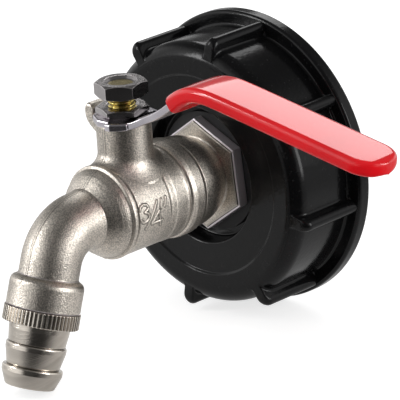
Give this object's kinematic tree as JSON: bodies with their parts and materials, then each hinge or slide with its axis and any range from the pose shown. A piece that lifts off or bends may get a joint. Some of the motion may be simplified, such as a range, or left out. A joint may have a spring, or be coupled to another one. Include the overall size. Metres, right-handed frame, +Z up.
{
  "type": "tank valve",
  "caption": "Lever ball tap with a bent spout and a hose tail, screwed through a ribbed screw cap that fits a container's coarse threaded outlet.",
  "frame": {"origin": "centre of the cap's open rear face, on the valve's axis", "axes": "+Z up, +Y towards the tank along the thread's axis, +X along the shut lever; the spout is at -Y"},
  "size_m": [0.1402, 0.101, 0.0856],
  "materials": {
    "cap_plastic": "satin moulded black polypropylene",
    "seal_rubber": "soft black rubber",
    "cast_nickel": "nickel-plated sand-cast brass",
    "turned_nickel": "nickel-plated turned brass",
    "ball_chrome": "polished chromed brass",
    "raw_brass": "bare turned brass",
    "seat_plastic": "white low-friction seat plastic",
    "lever_steel": "zinc-plated pressed steel",
    "nut_steel": "bright plated steel",
    "sleeve_vinyl": "dipped glossy red vinyl"
  },
  "bodies": {
    "valve": {"tank_cap": "cap_plastic", "tank_gasket": "seal_rubber", "inlet_washer": "seal_rubber", "inlet_piece": "turned_nickel", "tap_body": "cast_nickel", "seat_inlet": "seat_plastic", "seat_outlet": "seat_plastic", "thrust_washer": "seat_plastic", "packing_low": "seat_plastic", "packing_high": "seat_plastic", "gland_nut": "raw_brass"},
    "handle": {"stem": "raw_brass", "stem_ring": "seal_rubber", "ball": "ball_chrome", "lever_plate": "lever_steel", "lever_sleeve": "sleeve_vinyl", "jam_nut": "nut_steel", "lock_nut": "nut_steel"},
    "tail_seal": {"tail_washer": "seal_rubber"},
    "tail": {"hose_tail": "turned_nickel"}
  },
  "joints": [
    {"name": "lever_turn", "type": "hinge", "parent": "valve", "child": "handle", "pos_m": [0, -0.0523, 0], "axis": [0, 0, -1], "range_deg": [0, 90]},
    {"name": "tail_slide", "type": "slide", "parent": "valve", "child": "tail_seal", "axis": [0, -0.3322, -0.9432], "range_m": [0, 0.006]},
    {"name": "tail_turn", "type": "hinge", "parent": "tail_seal", "child": "tail", "pos_m": [0, -0.08726, -0.02033], "axis": [0, -0.3322, -0.9432], "range_deg": [0, 1616]}
  ],
  "couplings": [
    {"joint": "tail_turn", "follows": "tail_slide", "rad_per_m": 4699.5}
  ]
}
